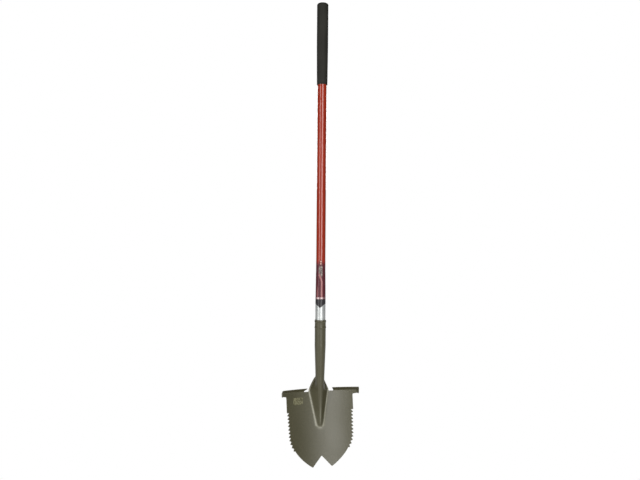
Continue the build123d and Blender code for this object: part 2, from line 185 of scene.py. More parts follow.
def face_profile(v):
    """Depth and height of the digging face on the centre line."""
    angle = v / FACE_R - LEAN
    return FACE_C[0] + FACE_R * np.cos(angle), FACE_C[1] + FACE_R * np.sin(angle)


def side_profile(v):
    """The same line, but through the step bend and out along the flange."""
    v = np.asarray(v, float)
    y, z = face_profile(np.minimum(v, BEND_V))
    y0, z0 = face_profile(BEND_V)
    toward = (-math.cos(BEND_START), math.sin(BEND_START))
    centre = (y0 + toward[0] * BEND_R, z0 + toward[1] * BEND_R)
    turned = np.clip((v - BEND_V) / BEND_R, 0, BEND_TURN)
    bend_y = centre[0] + BEND_R * np.cos(turned - BEND_START)
    bend_z = centre[1] + BEND_R * np.sin(turned - BEND_START)
    past = np.maximum(v - BEND_V - BEND_LEN, 0.0)
    bend_y = bend_y - past * math.cos(math.radians(FLANGE_ANGLE))
    bend_z = bend_z + past * math.sin(math.radians(FLANGE_ANGLE))
    return np.where(v > BEND_V, bend_y, y), np.where(v > BEND_V, bend_z, z)


def dished(y, z, x):
    """A profile point swung about the dish axis until it is x to the side."""
    s = (y - AXIS[0]) * math.sin(TILT) + (z - AXIS[1]) * math.cos(TILT)
    rho = (y - AXIS[0]) * math.cos(TILT) - (z - AXIS[1]) * math.sin(TILT)
    inward = np.sqrt(np.maximum(rho**2 - x**2, 1.0))
    return (AXIS[0] + s * math.sin(TILT) + inward * math.cos(TILT),
            AXIS[1] + s * math.cos(TILT) - inward * math.sin(TILT))


def to_blank(points):
    """Plan points (x, z) of the face turned into (u, v)."""
    out = []
    for x, z in points:
        low, high = -262.0, 20.0
        for _ in range(50):
            v = (low + high) / 2
            if dished(*face_profile(v), x)[1] < z:
                low = v
            else:
                high = v
        out.append((x, (low + high) / 2))
    return out


def centre_height(v):
    """Height above the step line on the centre line of the blade and socket."""
    return np.where(v <= 0, face_profile(np.minimum(v, 0.0))[1], v)


def frog_shape(z):
    """Depth of the face, crest height over it, crest radius, half width with rim, and root radius."""
    zc = np.minimum(z, JOIN_Z)
    face_y = np.where(zc <= 0, FACE_C[0] + np.sqrt(FACE_R**2 - (zc - FACE_C[1])**2),
                      WING_C[0] + np.sqrt(WING_R**2 - (np.maximum(zc, -40) - WING_C[1])**2))
    below = np.maximum(-zc - 5.0, 0.0)
    crest_y = -NECK_R + 0.65 * ramp(-zc, -JOIN_Z, 5.0) + 0.0235 * below + 0.00007 * below**2
    nose = np.clip((NOSE_TOP_Z - zc) / (NOSE_TOP_Z - NOSE_Z), 0, 1)
    height = (face_y - crest_y) * np.sqrt(1 - nose**2)
    radius = mix(10.9, 3.2, ramp(-zc, 0, 125)) + (NECK_R - 10.9) * ramp(zc, -12.0, JOIN_Z)
    start, centre, nose_half = line_end()
    round_end = np.sqrt(np.maximum(NOSE_R**2 - (np.minimum(zc, start) - centre)**2, 0.0)) + NOSE_RIM
    half = np.where(zc < start, round_end * (line_at(start) / nose_half), line_at(zc))
    half = mix(half, shoulder_half(zc), ramp(zc, -4.0, 5.0))
    root = np.minimum(ROOT_R, np.maximum(half - radius, 0.35))
    return face_y, height, radius, half, root


def line_at(z):
    """Half width of the frog along its straight sides."""
    return FROG_TOP_HALF + FROG_SLOPE * z


def line_end():
    """Where the straight rim turns into the round nose, the nose's centre, and its half width there."""
    centre = NOSE_Z - 2.0 + NOSE_R
    start = centre - NOSE_R * math.sin(math.atan(FROG_SLOPE))
    half = math.sqrt(NOSE_R**2 - (start - centre)**2) + NOSE_RIM
    return start, centre, half


def shoulder_half(z):
    """Half width of the shoulders, from the step line up to the neck."""
    t = np.clip(z / JOIN_Z, -0.1, 1)
    return NECK_R + 0.35 + (FROG_TOP_HALF - NECK_R - 0.35) * (1 - t)**1.55 * (1 + 0.62 * t)


def socket_radius(z):
    z = np.asarray(z, float)
    r = mix(NECK_R, SOCKET_R, np.clip((z - JOIN_Z) / (TAPER_Z - JOIN_Z), 0, 1))
    for centre in BEAD_ZS:
        near = np.clip(np.abs(z - centre) / BEAD_HALF, 0, 1)
        r = r + BEAD_HEIGHT * (0.5 + 0.5 * np.cos(math.pi * near))
    return r - 0.25 * ramp(z, SOCKET_TOP - 0.8, SOCKET_TOP)


def section(z):
    """The frog's shape at z, the slope of its flanks, and the lengths of crest, flank and root."""
    face_y, height, radius, half, root = frog_shape(z)
    total = radius + root
    drop = total - height
    far = np.hypot(half, drop)
    slope = np.arctan2(half, drop) - np.arccos(np.clip(total / far, -1, 1))
    flank = np.sqrt(np.maximum(far**2 - total**2, 0.0))
    return face_y, height, radius, half, root, slope, radius * slope, flank, root * slope


def sheet_edge(z):
    """Length along the section from the crest to the edge of the sheet, above the step line."""
    *_, crest_len, flank, root_len = section(z)
    open_edge = crest_len + flank + root_len
    r = socket_radius(np.maximum(z, JOIN_Z))
    return mix(open_edge, math.pi * r - SEAM / 2, ramp(z, JOIN_Z - 6.0, MOUTH_Z))


def blank_scale(z):
    """How much of u one millimetre along the section takes."""
    *_, half, _, _, crest_len, flank, root_len = section(z)
    return mix(half / (crest_len + flank + root_len), 1.0, ramp(z, 0.0, JOIN_Z))


def middle_point(u, v):
    """Face, frog, shoulders and socket."""
    z = centre_height(v)
    face_y, height, radius, half, root, slope, crest_len, flank, root_len = section(z)
    s = u / blank_scale(z)
    whole = crest_len + flank + root_len
    a = np.clip(s / radius, 0, slope)
    on_flank = np.clip(s - crest_len, 0, flank)
    b = np.clip((s - crest_len - flank) / np.maximum(root, 1e-6), 0, slope)
    x = radius * np.sin(a) + on_flank * np.cos(slope) + root * (np.sin(slope) - np.sin(slope - b))
    fall = radius * (1 - np.cos(a)) + on_flank * np.sin(slope)
    fall = fall + root * (np.cos(slope - b) - np.cos(slope))
    beyond = np.maximum(s - whole, 0.0)
    x = np.where(v <= 0, np.where(u > half, u, x), x + beyond * np.cos(slope))
    rise = np.where(v <= 0, np.where(u > half, 0.0, height - fall), height - fall)
    dish_y, dish_z = dished(*face_profile(np.minimum(v, 0.0)), x)
    lip = LIP_HEIGHT * (0.5 + 0.5 * np.cos(math.pi * np.clip((s - whole + 0.6) / LIP_HALF, -1, 1)))
    lip = lip * ramp(height, 0.0, 3.0) * ramp(-z, -30.0, -5.0)
    face = (x, dish_y - rise - lip, dish_z)
    sag = x**2 / (2 * DISH_R) * ramp(-z, -JOIN_Z, 0.0)
    upper = (x, face_y - rise - lip - sag, z)
    r = socket_radius(np.maximum(z, JOIN_Z))
    round_part = (r * np.sin(s / r), -r * np.cos(s / r), z)
    closing = ramp(z, JOIN_Z - 8.0, JOIN_Z + 12.0)
    upper = tuple(mix(p, q, closing) for p, q in zip(upper, round_part))
    return tuple(np.where(v <= 0, p, q) for p, q in zip(face, upper))


WEB_LOW_V = -EAR_DROP / math.cos(LEAN) - 0.3
WEB_HIGH_V = BEND_V + BEND_LEN + WEB_ON_FLANGE
WEB_X = EAR_HALF - SHEET - 0.45
WEB_R = 1.4


def web_line(v):
    """Depth and height of the return's free edge for a given v."""
    t = np.clip((v - WEB_LOW_V) / (WEB_HIGH_V - WEB_LOW_V), 0, 1)
    y0, z0 = side_profile(WEB_LOW_V)
    y1, z1 = side_profile(WEB_HIGH_V)
    return mix(y0 - WEB_REACH, y1, t), mix(z0 + 1.0, z1, t)


def web_width(v):
    """How far the return reaches forward from the step."""
    y, z = side_profile(v)
    wy, wz = web_line(v)
    return np.maximum(np.hypot(wy - y, wz - z), 1e-6)


def side_point(u, v):
    """Face beyond the frog, step bend, flange, and the return at its outer end."""
    y, z = side_profile(v)
    start = WEB_X - WEB_R
    past = np.maximum(u - start, 0.0)
    turn = np.clip(past / WEB_R, 0, math.pi / 2)
    x = np.where(u > start, start + WEB_R * np.sin(turn), u)
    out = WEB_R * (1 - np.cos(turn)) + np.maximum(past - WEB_R * math.pi / 2, 0.0)
    wy, wz = web_line(v)
    width = web_width(v)
    y = y + (wy - y) / width * out
    z = z + (wz - z) / width * out
    dy, dz = dished(y, z, x)
    return x, dy, dz


def sheet_point(u, v):
    """Front of the sheet, for u and v in millimetres."""
    u, v = np.asarray(u, float), np.asarray(v, float)
    side = (u > FLANGE_IN_EDGE - 2) & (v < LIP_V + 1)
    mid = middle_point(u, v)
    out = side_point(u, v)
    return np.stack([np.where(side, q, p) for p, q in zip(mid, out)], axis=-1)


def frog_painted_highlight(u, v):
    """Share of the paint that is lightened as a painted highlight: 1 on the lip that outlines the frog, less
    on the lower part of its crest and at the foot of its nose, 0 away from them.
    """
    z = centre_height(v)
    *_, crest_len, flank, root_len = section(z)
    across = u / blank_scale(z)
    width = 3.2 + 1.4 * ramp(-z, -NOSE_Z - 14.0, -NOSE_Z)
    lip = np.exp(-((across - (crest_len + flank + root_len) + 1.0) / width)**2)
    lip = lip * ramp(-z, -16.0, -2.0) * ramp(z, NOSE_Z - 7.0, NOSE_Z + 3.0)
    crest = np.exp(-(across / 2.4)**2) * ramp(-z, 0.0, -NOSE_TOP_Z) * ramp(z, NOSE_Z, NOSE_TOP_Z)
    foot = 0.75 * np.exp(-((z - NOSE_Z + 2.0) / 5.0)**2 - (u / 8.0)**2)
    return np.maximum(np.maximum(lip, foot), 0.5 * crest)


# ---- outline of the blank -----------------------------------------------------------------------
def tooth_line(z):
    """Half width across the tips of the teeth."""
    return TOOTH_LINE_HALF - 0.042 * (TOOTH_TOP_Z - z) - 0.0067 * max(0.0, -138.0 - z)**2


def side_edge():
    """Plan points from the tip up to the foot of the ear, along the serrated side."""
    points = arc_through((TIP_HALF + 1.4, TIP_Z + 0.4), (58.0, -219.0), (84.4, -190.6), 22)
    points.append((tooth_line(-181.1) - TOOTH_DEPTH, -183.1))
    for i in reversed(range(TEETH)):
        tip_z = TOOTH_TOP_Z - i * TOOTH_PITCH
        root_z = tip_z + ROOT_RISE * TOOTH_PITCH
        tip_x = tooth_line(tip_z)
        lean = math.atan((tooth_line(tip_z + 2) - tooth_line(tip_z - 2)) / 4)
        points += [(tip_x - 0.1, tip_z - 0.75), (tip_x + 0.05, tip_z - 0.2),
                   (tip_x - 0.1, tip_z + 0.45)]
        deep = TOOTH_DEPTH * math.cos(lean)
        points.append((tooth_line(min(root_z, TOOTH_TOP_Z)) - deep, root_z + 0.6 * math.sin(lean)))
    points += [(BODY_HALF - 0.4, TOOTH_TOP_Z + ROOT_RISE * TOOTH_PITCH + 1.5),
               (BODY_HALF, -EAR_DROP - 5.0), (BODY_HALF + 0.25, -EAR_DROP - 2.4),
               (BODY_HALF + 1.0, -EAR_DROP - 0.9), (BODY_HALF + 2.6, -EAR_DROP)]
    return points


def blank_outline():
    """Right half of the blank as a closed loop of (u, v), with the centre line as its last stretch."""
    notch = [(0.0, NOTCH_Z), (TIP_HALF - 1.0, TIP_Z + 0.5), (TIP_HALF + 0.2, TIP_Z),
             (TIP_HALF + 1.4, TIP_Z + 0.4)]
    low = to_blank(spread(notch, OUTLINE_STEP)[:-1] + spread(side_edge(), OUTLINE_STEP))
    loop = low + spread([low[-1], (WEB_X - WEB_R, WEB_LOW_V)], OUTLINE_STEP)[1:]
    vs = np.linspace(WEB_LOW_V, WEB_HIGH_V, 20)
    bend = WEB_R * (math.pi / 2 - 1)
    shares = [min(1.0, (WEB_HIGH_V - v) / 3.0 + 0.12) for v in vs]
    web = [(WEB_X + bend + float(web_width(v)) * share - 0.2, v) for v, share in zip(vs, shares)]
    loop += spread(rounded([loop[-1]] + web, 1.0), OUTLINE_STEP)[1:]
    corner = [(WEB_X - 0.2, WEB_HIGH_V + 0.8), (EAR_HALF - 0.4, WEB_HIGH_V + 1.6),
              (EAR_HALF - 0.4, LIP_V), (FLANGE_IN_EDGE, LIP_V)]
    slope = (FLANGE_IN - FLANGE_IN_EDGE) / (LIP_V - BEND_V)
    corner += [(FLANGE_IN - slope * 3.0, BEND_V + 3.0), (FLANGE_IN, BEND_V - 0.4)]
    foot = FROG_TOP_HALF + 0.6
    corner += [(foot + 1.5, BEND_V - 0.4), (foot - 0.4, BEND_V + 1.2)]
    loop += spread(rounded([loop[-1]] + corner, 2.0), OUTLINE_STEP)[1:]
    zs = np.concatenate([np.linspace(0.8, JOIN_Z - 8, 16), np.linspace(JOIN_Z - 6, MOUTH_Z, 22)])
    edge = [(float(sheet_edge(z) * blank_scale(z)), float(z)) for z in zs]
    top = [(float(sheet_edge(z)), float(z)) for z in seam_heights()]
    loop += edge + top
    loop += spread([top[-1], (0.0, SOCKET_TOP)], 1.8)[1:]
    return loop


def seam_heights():
    """Heights of mesh points along the closed part of the seam, dense over the beads."""
    fine = np.arange(BEAD_ZS[0] - 8, SOCKET_TOP, FINE_ROW)
    coarse = np.arange(MOUTH_Z + 3, BEAD_ZS[0] - 8, 3.0)
    return list(coarse) + list(fine) + [SOCKET_TOP]


def return_columns():
    """Columns over the bend at the outer end of a step, and over the return beyond it."""
    return list(np.linspace(WEB_X - WEB_R, WEB_X + WEB_R, 5)) + list(np.arange(WEB_X + 3, RETURN_END, 2.0))


def inner_points(loop):
    """Rows of points inside the blank: dense over frog, bend and beads, wider on the plain face."""
    points = []
    v = loop[0][1] - 36.0
    while v < SOCKET_TOP - 0.4:
        z = float(centre_height(v))
        *_, half, _, _, crest_len, flank, root_len = (float(q) for q in section(z))
        scale = float(blank_scale(z))
        columns = []
        if v < 0:
            if NOSE_Z - 6 < z:
                s = np.concatenate([np.linspace(0, crest_len, 6), crest_len + np.linspace(0, flank, 7)[1:],
                                    crest_len + flank + np.linspace(0, root_len, 7)[1:]])
                columns += list(s * scale)
                columns += [half + k for k in (0.9, 1.8, 2.8, 4.2)]
                start = half + 6.2
            else:
                start = 0.0
            columns += list(np.arange(start, WEB_X - WEB_R, CELL))
            if v > WEB_LOW_V:
                columns += return_columns()
        else:
            edge = float(sheet_edge(z)) * scale
            columns += list(np.linspace(0, edge, 34))
            if v < LIP_V:
                columns += list(np.arange(FLANGE_IN_EDGE, WEB_X - WEB_R, CELL))
                columns += return_columns()
        points += [(float(c), v) for c in columns]
        if BEND_V - 1 < v < BEND_V + BEND_LEN + 0.6:
            v += 0.45
        elif z > BEAD_ZS[0] - 7:
            v += FINE_ROW
        elif NOSE_Z - 4 < z < NOSE_TOP_Z:
            v += 1.2
        else:
            v += 2.3
    return points


def clear_of_loop(points, loop, gap):
    """Those points that lie inside the loop, no nearer to it than gap."""
    p = np.array(points)
    a = np.array(loop)
    b = np.roll(a, -1, axis=0)
    keep = np.ones(len(p), bool)
    inside = np.zeros(len(p), bool)
    for (ax, ay), (bx, by) in zip(a, b):
        d = np.array([bx - ax, by - ay])
        t = np.clip(((p - [ax, ay]) @ d) / max(d @ d, 1e-9), 0, 1)
        near = np.hypot(p[:, 0] - ax - t * d[0], p[:, 1] - ay - t * d[1])
        on_centre = abs(ax) < 1e-6 and abs(bx) < 1e-6
        if not on_centre:
            keep &= near > gap
        crosses = (ay > p[:, 1]) != (by > p[:, 1])
        with np.errstate(divide="ignore", invalid="ignore"):
            inside ^= crosses & (p[:, 0] < (bx - ax) * (p[:, 1] - ay) / (by - ay) + ax)
    centre = (p[:, 0] < 1e-6) & (p[:, 1] > a[0, 1]) & (p[:, 1] < SOCKET_TOP)
    return p[(inside | centre) & keep]


def to_frame(points):
    """Blade millimetres to metres in the shared frame."""
    return (np.asarray(points) + [0, 0, STEP_Z]) * MM


def face_outward(obj):
    bm = bmesh.new()
    bm.from_mesh(obj.data)
    bmesh.ops.recalc_face_normals(bm, faces=bm.faces)
    bm.to_mesh(obj.data)
    bm.free()


def mesh_object(name, vertices, faces):
    mesh = bpy.data.meshes.new(name)
    mesh.from_pydata([tuple(v) for v in vertices], [], faces)
    mesh.validate()
    mesh.update()
    obj = bpy.data.objects.new(name, mesh)
    bpy.context.scene.collection.objects.link(obj)
    return obj


def settle(obj, angle=40.0):
    """Applies the modifiers and shades the mesh smooth, but sharp where it folds by more than angle."""
    graph = bpy.context.evaluated_depsgraph_get()
    done = bpy.data.meshes.new_from_object(
        obj.evaluated_get(graph), preserve_all_data_layers=True, depsgraph=graph)
    done.name = obj.name
    old = obj.data
    obj.modifiers.clear()
    obj.data = done
    bpy.data.meshes.remove(old)
    for polygon in obj.data.polygons:
        polygon.use_smooth = True
    obj.data.set_sharp_from_angle(angle=math.radians(angle))
    return obj


def make_blade():
    loop = blank_outline()
    inner = clear_of_loop(inner_points(loop), loop, 0.75)
    coords = [Vector(p) for p in loop] + [Vector(p) for p in inner]
    ring = list(range(len(loop)))
    verts, _, faces, *_ = geometry.delaunay_2d_cdt(coords, [], [ring], 1, 1e-6)
    flat = np.array([tuple(v) for v in verts])
    right = sheet_point(np.maximum(flat[:, 0], 0.0), flat[:, 1])
    right[flat[:, 0] < 1e-4, 0] = 0.0
    left = right * [-1, 1, 1]
    count = len(right)
    both = list(faces) + [[count + i for i in reversed(f)] for f in faces]
    obj = mesh_object("blade_shell", to_frame(np.vstack([right, left])), [tuple(f) for f in both])
    # share of painted highlight along the frog's lip, lower crest and nose, kept in the rim attribute
    painted_highlight = frog_painted_highlight(flat[:, 0], flat[:, 1])
    obj.data.attributes.new("rim", "FLOAT", "POINT").data.foreach_set("value", np.tile(painted_highlight, 2))
    bm = bmesh.new()
    bm.from_mesh(obj.data)
    bmesh.ops.remove_doubles(bm, verts=bm.verts, dist=0.02 * MM)
    bmesh.ops.recalc_face_normals(bm, faces=bm.faces)
    front = max(bm.faces, key=lambda f: f.calc_area())
    if front.normal.y > 0:
        bmesh.ops.reverse_faces(bm, faces=bm.faces)
    bm.to_mesh(obj.data)
    bm.free()
    solid = obj.modifiers.new("sheet", "SOLIDIFY")
    solid.thickness = SHEET * MM
    solid.offset = -1.0
    solid.use_even_offset = True
    solid.use_quality_normals = True
    edge = obj.modifiers.new("rim", "BEVEL")
    edge.width = 0.32 * MM
    edge.segments = 2
    edge.limit_method = "ANGLE"
    edge.angle_limit = math.radians(50)
    return settle(obj)


# ---- turned pieces ------------------------------------------------------------------------------
def turned(name, profile, segments=128):
    """Closed (radius, height) profile in frame millimetres, turned about the handle axis."""
    verts, rings = [], []
    for r, z in profile:
        if r < 1e-6:
            rings.append([len(verts)])
            verts.append((0.0, 0.0, z * MM))
            continue
        ring = []
        for k in range(segments):
            a = 2 * math.pi * k / segments
            ring.append(len(verts))
            verts.append((r * math.sin(a) * MM, -r * math.cos(a) * MM, z * MM))
        rings.append(ring)
    faces = []
    for a, b in zip(rings, rings[1:] + rings[:1]):
        if len(a) == 1 and len(b) == 1:
            continue
        for k in range(segments):
            n = (k + 1) % segments
            if len(a) == 1:
                faces.append((a[0], b[n], b[k]))
            elif len(b) == 1:
                faces.append((a[k], a[n], b[0]))
            else:
                faces.append((a[k], a[n], b[n], b[k]))
    obj = mesh_object(name, verts, faces)
    face_outward(obj)
    return settle(obj, 35.0)


HANDLE_BORE = 12.0
CORE_FOOT_R = 13.75      # the plug tapers to this in the neck of the socket
COLLAR_STRAIGHT = 128.0  # length of the collar below its taper
GRIP_FOOT_R = 17.65
GRIP_TAPER = 127.0       # length over which the grip swells to its full radius
GRIP_CROWN_R = 5.0


def make_handle():
    r = HANDLE_HIGH.x
    low, high = HANDLE_LOW.z, HANDLE_HIGH.z
    points = [(HANDLE_BORE, high), (HANDLE_BORE, low), (r - 0.8, low), (r, low + 4.0),
              (r, high - 1.0), (r - 1.0, high)]
    return turned("fibreglass_handle", spread(points, 22.0))


def make_core():
    stem = HANDLE_BORE - 0.05
    shoulder = HANDLE_LOW.z - 1.0
    points = [(0, CORE_LOW.z), (CORE_FOOT_R - 0.4, CORE_LOW.z), (CORE_FOOT_R, CORE_LOW.z + 0.8),
              (CORE_HIGH.x, shoulder), (stem, shoulder), (stem, CORE_HIGH.z - 6.0),
              (stem - 3, CORE_HIGH.z), (0, CORE_HIGH.z)]
    return turned("wood_core", points, 64)


def collar_profile():
    """Outside of the collar as (radius, height), from its lower end to its thin upper edge."""
    cone_low = COLLAR_LOW.z + COLLAR_STRAIGHT
    return [(COLLAR_HIGH.x, COLLAR_LOW.z), (COLLAR_HIGH.x, cone_low),
            (HANDLE_HIGH.x + 0.3, COLLAR_HIGH.z)]


def make_collar():
    (r, low), (_, cone), (thin, top) = collar_profile()
    bore = HANDLE_HIGH.x + 0.05
    points = [(bore, top), (bore, low), (r - 0.4, low), (r, low + 0.5), (r, cone - 8.0), (r - 0.05, cone),
              (r - 0.18, cone + 8.0), (thin, top - 0.5), (thin - 0.12, top)]
    return turned("steel_collar", spread(points, 12.0))


def make_grip():
    r, low, high = GRIP_HIGH.x, GRIP_LOW.z, GRIP_HIGH.z
    bore = HANDLE_HIGH.x + 0.02
    under = HANDLE_HIGH.z + 0.05
    foot = GRIP_FOOT_R
    outside = [(foot - 0.9, low), (foot, low + 0.9), (foot + 0.02, low + 5.0),
               (foot - 0.42, low + 5.9), (foot - 0.42, low + 6.9), (foot + 0.05, low + 7.8)]
    outside += spread([outside[-1], (r, low + GRIP_TAPER), (r, high - GRIP_CROWN_R - 0.2)], 12.0)[1:]
    crown = [(r - GRIP_CROWN_R + GRIP_CROWN_R * math.cos(a), high - GRIP_CROWN_R + GRIP_CROWN_R * math.sin(a))
             for a in np.linspace(0, math.pi / 2, 12)]
    outside += crown + [(9.0, high), (4.0, high), (0.0, high)]
    inside = [(0.0, under), (bore, under), (bore, low)]
    return turned("rubber_grip", outside + inside)


# ---- label and decal ----------------------------------------------------------------------------
LABEL_THICK = 0.18
LABEL_TURN = math.radians(-14.5)         # the printed front faces this way, left of straight on
POINT_TURN = math.radians(-20.0)         # and the point of its lower edge this way
POINT_RISE = 13.0                        # its rise to the sides; it has a second point at the back
FILM_GAP = 0.02                          # the label lies this far off what it is wrapped on
DECAL_CORNER = 4.0


def under_label(z):
    """Radius of what the label is wrapped on."""
    (r, _), (_, cone), (thin, top) = collar_profile()
    return np.where(z > top, mix(thin, HANDLE_HIGH.x, np.clip((z - top) / 3.0, 0, 1)),
                    mix(r, thin, np.clip((z - cone) / (top - cone), 0, 1)))


def make_label():
    low, high = LABEL_LOW.z, LABEL_HIGH.z
    around, up = 96, 70
    verts, faces = [], []
    for layer, lift in enumerate((FILM_GAP + LABEL_THICK, FILM_GAP)):
        for k in range(around):
            a = 2 * math.pi * k / around
            bottom = low + POINT_RISE * min(1.0, abs(math.sin(a - POINT_TURN)) * 1.12)
            for j in range(up + 1):
                z = mix(bottom, high, j / up)
                r = float(under_label(z)) + lift
                if layer == 0 and j in (0, up):
                    r -= LABEL_THICK * 0.45
                verts.append((r * math.sin(a) * MM, -r * math.cos(a) * MM, z * MM))
    ring = up + 1
    size = around * ring
    for k in range(around):
        n = (k + 1) % around
        for j in range(up):
            a, b, c, d = k * ring + j, n * ring + j, n * ring + j + 1, k * ring + j + 1
            faces.append((a, b, c, d))
            faces.append((size + d, size + c, size + b, size + a))
        for j in (0, up):
            a, b = k * ring + j, n * ring + j
            faces.append((b, a, size + a, size + b) if j == 0 else (a, b, size + b, size + a))
    return settle(mesh_object("label_wrap", verts, faces), 50.0)


def make_decal():
    """Thin film that follows the digging face, with rounded corners."""
    centre = (DECAL_LOW + DECAL_HIGH) / 2
    cx, cz = -centre.x, centre.z - STEP_Z
    w, h = (DECAL_HIGH.x - DECAL_LOW.x) / 2, (DECAL_HIGH.z - DECAL_LOW.z) / 2
    cols, rows = 24, 16
    layers = []
    for lift in (0.16, 0.03):
        pts = []
        for j in range(rows + 1):
            b = 2 * j / rows - 1
            for i in range(cols + 1):
                a = 2 * i / cols - 1
                x, z = a * w, b * h
                over_x, over_z = abs(x) - (w - DECAL_CORNER), abs(z) - (h - DECAL_CORNER)
                if over_x > 0 and over_z > 0:
                    pull = max(over_x, over_z) / math.hypot(over_x, over_z)
                    x = math.copysign(w - DECAL_CORNER + over_x * pull, x)
                    z = math.copysign(h - DECAL_CORNER + over_z * pull, z)
                pts.append((cx + x, cz + z))
        uv = np.array(to_blank(pts))
        p = sheet_point(uv[:, 0], uv[:, 1])
        p[:, 1] -= lift
        p[:, 0] *= -1
        layers.append(p)
    verts = to_frame(np.vstack(layers))
    ring = cols + 1
    size = (rows + 1) * ring
    faces = []
    for j in range(rows):
        for i in range(cols):
            a = j * ring + i
            faces.append((a, a + ring, a + ring + 1, a + 1))
            faces.append((size + a, size + a + 1, size + a + ring + 1, size + a + ring))
    border = list(range(cols)) + [j * ring + cols for j in range(rows)]
    border += [rows * ring + cols - i for i in range(cols)] + [(rows - j) * ring for j in range(rows)]
    for a, b in zip(border, border[1:] + border[:1]):
        faces.append((a, b, size + b, size + a))
    obj = mesh_object("blade_mark", verts, faces)
    face_outward(obj)
    return settle(obj, 50.0)


SHANK_R = 2.4


def make_rivet():
    """Domed head with a soft edge, and its shank, along +Y."""
    z0 = (RIVET_LOW.z + RIVET_HIGH.z) / 2
    head_r = (RIVET_HIGH.z - RIVET_LOW.z) / 2
    seat, top = SOCKET_R + 0.01, RIVET_HIGH.y
    height = top - seat
    dome = (head_r**2 + height**2) / (2 * height)
    reach = math.asin(head_r / dome)
    outline = [(0.0, RIVET_LOW.y), (SHANK_R - 0.3, RIVET_LOW.y), (SHANK_R, RIVET_LOW.y + 0.3),
               (SHANK_R, seat), (head_r - 0.15, seat), (head_r, seat + 0.25)]
    outline += [(dome * math.sin(a), top - dome + dome * math.cos(a))
                for a in np.linspace(reach * 0.95, 0, 12)]
    obj = turned("rivet", outline, 48)
    spin = Matrix(((1, 0, 0), (0, 0, 1), (0, -1, 0)))
    obj.data.transform(spin.to_4x4())
    obj.data.transform(Matrix.Translation((0, 0, z0 * MM)))
    return obj


# ---- materials ----------------------------------------------------------------------------------
class Shader:
    """A Principled material with short calls for the nodes that feed it."""

    def __init__(self, name):
        self.material = bpy.data.materials.new(name)
        self.material.use_nodes = True
        self.tree = self.material.node_tree
        self.bsdf = self.tree.nodes["Principled BSDF"]
        self.where = self.tree.nodes.new("ShaderNodeTexCoord").outputs["Object"]

    def set(self, **values):
        """Constants of the shader, named as its sockets are, in lower case with underscores."""
        sockets = {s.name.lower().replace(" ", "_"): s for s in self.bsdf.inputs}
        for name, value in values.items():
            sockets[name].default_value = value

    def link(self, out, socket):
        self.tree.links.new(out, socket)

    def scaled(self, scale):
        node = self.tree.nodes.new("ShaderNodeMapping")
        node.inputs["Scale"].default_value = scale
        self.link(self.where, node.inputs["Vector"])
        return node.outputs["Vector"]

    def noise(self, scale, stretch=(1, 1, 1), detail=4.0, rough=0.5):
        node = self.tree.nodes.new("ShaderNodeTexNoise")
        node.inputs["Scale"].default_value = scale
        node.inputs["Detail"].default_value = detail
        node.inputs["Roughness"].default_value = rough
        self.link(self.scaled(stretch), node.inputs["Vector"])
        return node.outputs["Fac"]

    def attribute(self, name):
        node = self.tree.nodes.new("ShaderNodeAttribute")
        node.attribute_name = name
        return node.outputs["Fac"]

    def axis(self, name, vector=None):
        node = self.tree.nodes.new("ShaderNodeSeparateXYZ")
        self.link(vector or self.where, node.inputs[0])
        return node.outputs[name]

    def faces_front(self):
        """1 where the surface faces the digging side, 0 on the back."""
        normal = self.tree.nodes.new("ShaderNodeTexCoord").outputs["Normal"]
        return self.span(self.axis("Y", normal), 0.2, -0.1)

    def math(self, kind, a, b=0.0, clamp=False):
        node = self.tree.nodes.new("ShaderNodeMath")
        node.operation = kind
        node.use_clamp = clamp
        for socket, value in zip(node.inputs, (a, b)):
            if isinstance(value, (int, float)):
                socket.default_value = value
            else:
                self.link(value, socket)
        return node.outputs[0]

    def span(self, value, low, high, to_low=0.0, to_high=1.0, smooth=True):
        node = self.tree.nodes.new("ShaderNodeMapRange")
        node.interpolation_type = "SMOOTHSTEP" if smooth else "LINEAR"
        self.link(value, node.inputs["Value"])
        ends = {"From Min": low, "From Max": high, "To Min": to_low, "To Max": to_high}
        for name, v in ends.items():
            node.inputs[name].default_value = v
        return node.outputs["Result"]

    def blend(self, factor, a, b):
        node = self.tree.nodes.new("ShaderNodeMix")
        node.data_type = "RGBA"
        self.link(factor, node.inputs["Factor"])
        for socket, value in ((node.inputs[6], a), (node.inputs[7], b)):
            if isinstance(value, tuple):
                socket.default_value = (*value, 1.0)
            else:
                self.link(value, socket)
        return node.outputs[2]

    def colour(self, out):
        self.link(out, self.bsdf.inputs["Base Color"])

    def roughness(self, out):
        self.link(out, self.bsdf.inputs["Roughness"])

    def bump(self, out, distance, strength=1.0, under=None):
        node = self.tree.nodes.new("ShaderNodeBump")
        node.inputs["Distance"].default_value = distance
        node.inputs["Strength"].default_value = strength
        self.link(out, node.inputs["Height"])
        if under is not None:
            self.link(under, node.inputs["Normal"])
        self.link(node.outputs["Normal"], self.bsdf.inputs["Normal"])
        return node.outputs["Normal"]


def srgb(r, g, b):
    """Display colour, 0 to 255, as linear light."""
    return tuple(((c / 255 + 0.055) / 1.055)**2.4 if c > 10 else c / 255 / 12.92 for c in (r, g, b))


